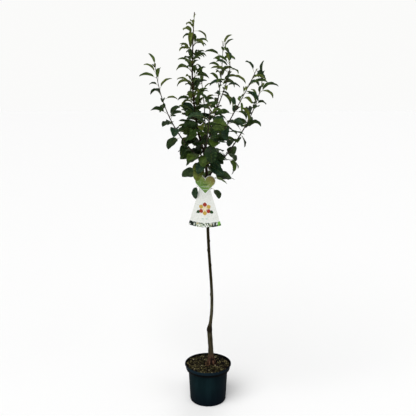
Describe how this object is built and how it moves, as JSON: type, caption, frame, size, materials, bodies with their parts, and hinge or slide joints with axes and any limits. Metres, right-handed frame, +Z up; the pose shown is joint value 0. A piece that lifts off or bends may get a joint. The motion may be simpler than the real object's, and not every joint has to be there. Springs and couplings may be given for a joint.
{
  "type": "potted pear tree",
  "caption": "Young grafted pear tree about two metres tall with a leader and side shoots, in a plastic nursery pot, with a blank hanging plant label.",
  "frame": {"origin": "centre of the pot's flat underside", "axes": "+Z up along the trunk, -Y towards the side that the label faces, +X to the right of the label"},
  "size_m": [0.7096, 0.5623, 2.0451],
  "materials": {
    "pot": "satin",
    "mulch": "matte",
    "bark": "matte",
    "twig": "matte",
    "leaf": "satin",
    "card": "matte",
    "heart": "satin"
  },
  "bodies": {
    "root": {"bough_back": "twig", "bough_fork": "twig", "bough_front": "twig", "bough_inner_right": "twig", "bough_left": "twig", "bough_middle": "twig", "bough_outer_right": "twig", "foliage_back": "leaf", "foliage_fork": "leaf", "foliage_front": "leaf", "foliage_hanging_left": "leaf", "foliage_hanging_right": "leaf", "foliage_high_front": "leaf", "foliage_high_left": "leaf", "foliage_high_right": "leaf", "foliage_inner_right": "leaf", "foliage_leader_01": "leaf", "foliage_leader_02": "leaf", "foliage_leader_03": "leaf", "foliage_leader_04": "leaf", "foliage_leader_05": "leaf", "foliage_leader_06": "leaf", "foliage_leader_07": "leaf", "foliage_leader_08": "leaf", "foliage_leader_09": "leaf", "foliage_leader_10": "leaf", "foliage_leader_11": "leaf", "foliage_leader_12": "leaf", "foliage_leader_13": "leaf", "foliage_leader_14": "leaf", "foliage_leader_15": "leaf", "foliage_left": "leaf", "foliage_low_back": "leaf", "foliage_low_front": "leaf", "foliage_low_left": "leaf", "foliage_low_right": "leaf", "foliage_mid_back": "leaf", "foliage_mid_front": "leaf", "foliage_mid_left": "leaf", "foliage_middle": "leaf", "foliage_on_inner_right": "leaf", "foliage_on_left": "leaf", "foliage_on_middle_high": "leaf", "foliage_on_middle_low": "leaf", "foliage_on_middle_mid": "leaf", "foliage_on_outer_high": "leaf", "foliage_on_outer_low": "leaf", "foliage_outer_right": "leaf", "foliage_side_left": "leaf", "foliage_top": "leaf", "label_band": "card", "label_card": "card", "label_heart": "heart", "pot": "pot", "soil": "mulch", "trunk": "bark"}
  },
  "joints": []
}
